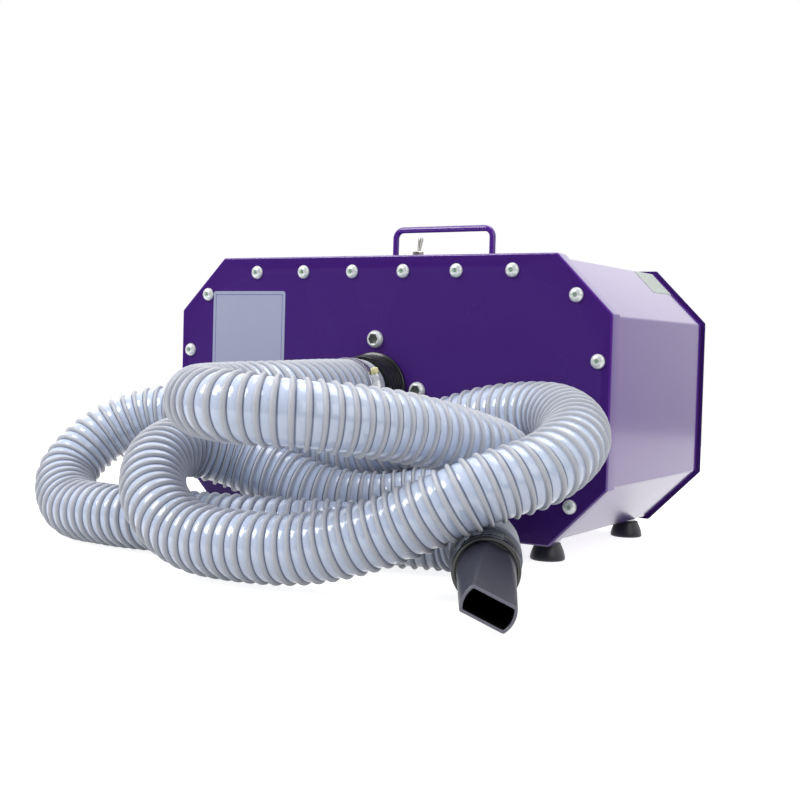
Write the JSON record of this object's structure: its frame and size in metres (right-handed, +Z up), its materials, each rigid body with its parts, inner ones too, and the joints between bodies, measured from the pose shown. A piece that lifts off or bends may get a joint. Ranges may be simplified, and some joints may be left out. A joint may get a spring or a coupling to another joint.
{
  "type": "pet dryer",
  "caption": "Forced-air pet dryer: eight-sided sheet steel cabinet with twin blower motors, toggle switch, carry handle, ribbed hose and flat swivel nozzle.",
  "frame": {"origin": "on the floor under the middle of the machine's bounding box (hose left out)", "axes": "+Z up, -Y the front with the outlet, +X the right-hand side seen from the front"},
  "size_m": [0.6245, 0.6516, 0.3355],
  "materials": {
    "purple_paint": "gloss",
    "seal_rubber": "matt",
    "zinc": "bright zinc",
    "yellow_zinc": "yellow zinc",
    "rivet_brass": "plain",
    "label": "satin",
    "sticker": "matt",
    "black_plastic": "satin",
    "sheet_steel": "satin",
    "filter_foam": "open foam",
    "terminal_plastic": "satin",
    "wire_blue": "satin",
    "cast_alloy": "as cast",
    "ground_steel": "ground",
    "copper": "enamelled",
    "hose_plastic": "gloss",
    "nozzle_plastic": "satin"
  },
  "bodies": {
    "cabinet": {"front_lid": "purple_paint", "body_shell": "purple_paint", "rear_cover": "purple_paint", "front_gasket": "seal_rubber", "rear_gasket": "seal_rubber", "lid_screws": "zinc", "rear_screws": "zinc", "rivet_nuts": "rivet_brass", "label_plate": "label", "blank_sticker": "sticker", "carry_handle": "purple_paint", "handle_collars": "zinc", "handle_nuts": "zinc", "switch_body": "black_plastic", "switch_terminals": "rivet_brass", "switch_nuts": "zinc", "outlet_collar": "black_plastic", "outlet_duct": "sheet_steel", "outlet_screws": "zinc", "outlet_nuts": "zinc", "motor_plate": "sheet_steel", "plate_screws": "zinc", "intake_filter": "filter_foam", "filter_tray": "sheet_steel", "cable_gland": "black_plastic", "gland_nut": "black_plastic", "terminal_block": "terminal_plastic", "wiring": "wire_blue", "feet": "seal_rubber", "foot_washers": "zinc", "foot_screws": "zinc", "foot_nuts": "zinc", "left_mount_ring": "seal_rubber", "left_fan_housing": "cast_alloy", "left_stator": "sheet_steel", "left_field_coils": "copper", "left_bearings": "ground_steel", "left_end_bracket": "cast_alloy", "left_brushes": "rivet_brass", "right_mount_ring": "seal_rubber", "right_fan_housing": "cast_alloy", "right_stator": "sheet_steel", "right_field_coils": "copper", "right_bearings": "ground_steel", "right_end_bracket": "cast_alloy", "right_brushes": "rivet_brass", "hose": "hose_plastic", "clamp_band": "zinc", "clamp_screw": "yellow_zinc", "swivel_cuff": "black_plastic"},
    "toggle": {"toggle_lever": "zinc"},
    "left_rotor": {"left_shaft": "ground_steel", "left_armature": "copper", "left_commutator": "copper", "left_impeller": "cast_alloy"},
    "right_rotor": {"right_shaft": "ground_steel", "right_armature": "copper", "right_commutator": "copper", "right_impeller": "cast_alloy"},
    "nozzle": {"air_nozzle": "nozzle_plastic"}
  },
  "joints": [
    {"name": "toggle_flip", "type": "hinge", "parent": "cabinet", "child": "toggle", "pos_m": [0, -0.054, 0.297], "axis": [1, 0, 0], "range_deg": [0, 27]},
    {"name": "left_rotor_spin", "type": "hinge", "parent": "cabinet", "child": "left_rotor", "pos_m": [-0.115, 0, 0.155], "axis": [0, 1, 0], "continuous": true},
    {"name": "right_rotor_spin", "type": "hinge", "parent": "cabinet", "child": "right_rotor", "pos_m": [0.115, 0, 0.155], "axis": [0, 1, 0], "continuous": true},
    {"name": "nozzle_swivel", "type": "hinge", "parent": "cabinet", "child": "nozzle", "pos_m": [0.2248, -0.3177, 0.0306], "axis": [0.4696, -0.8805, -0.0646], "continuous": true}
  ]
}
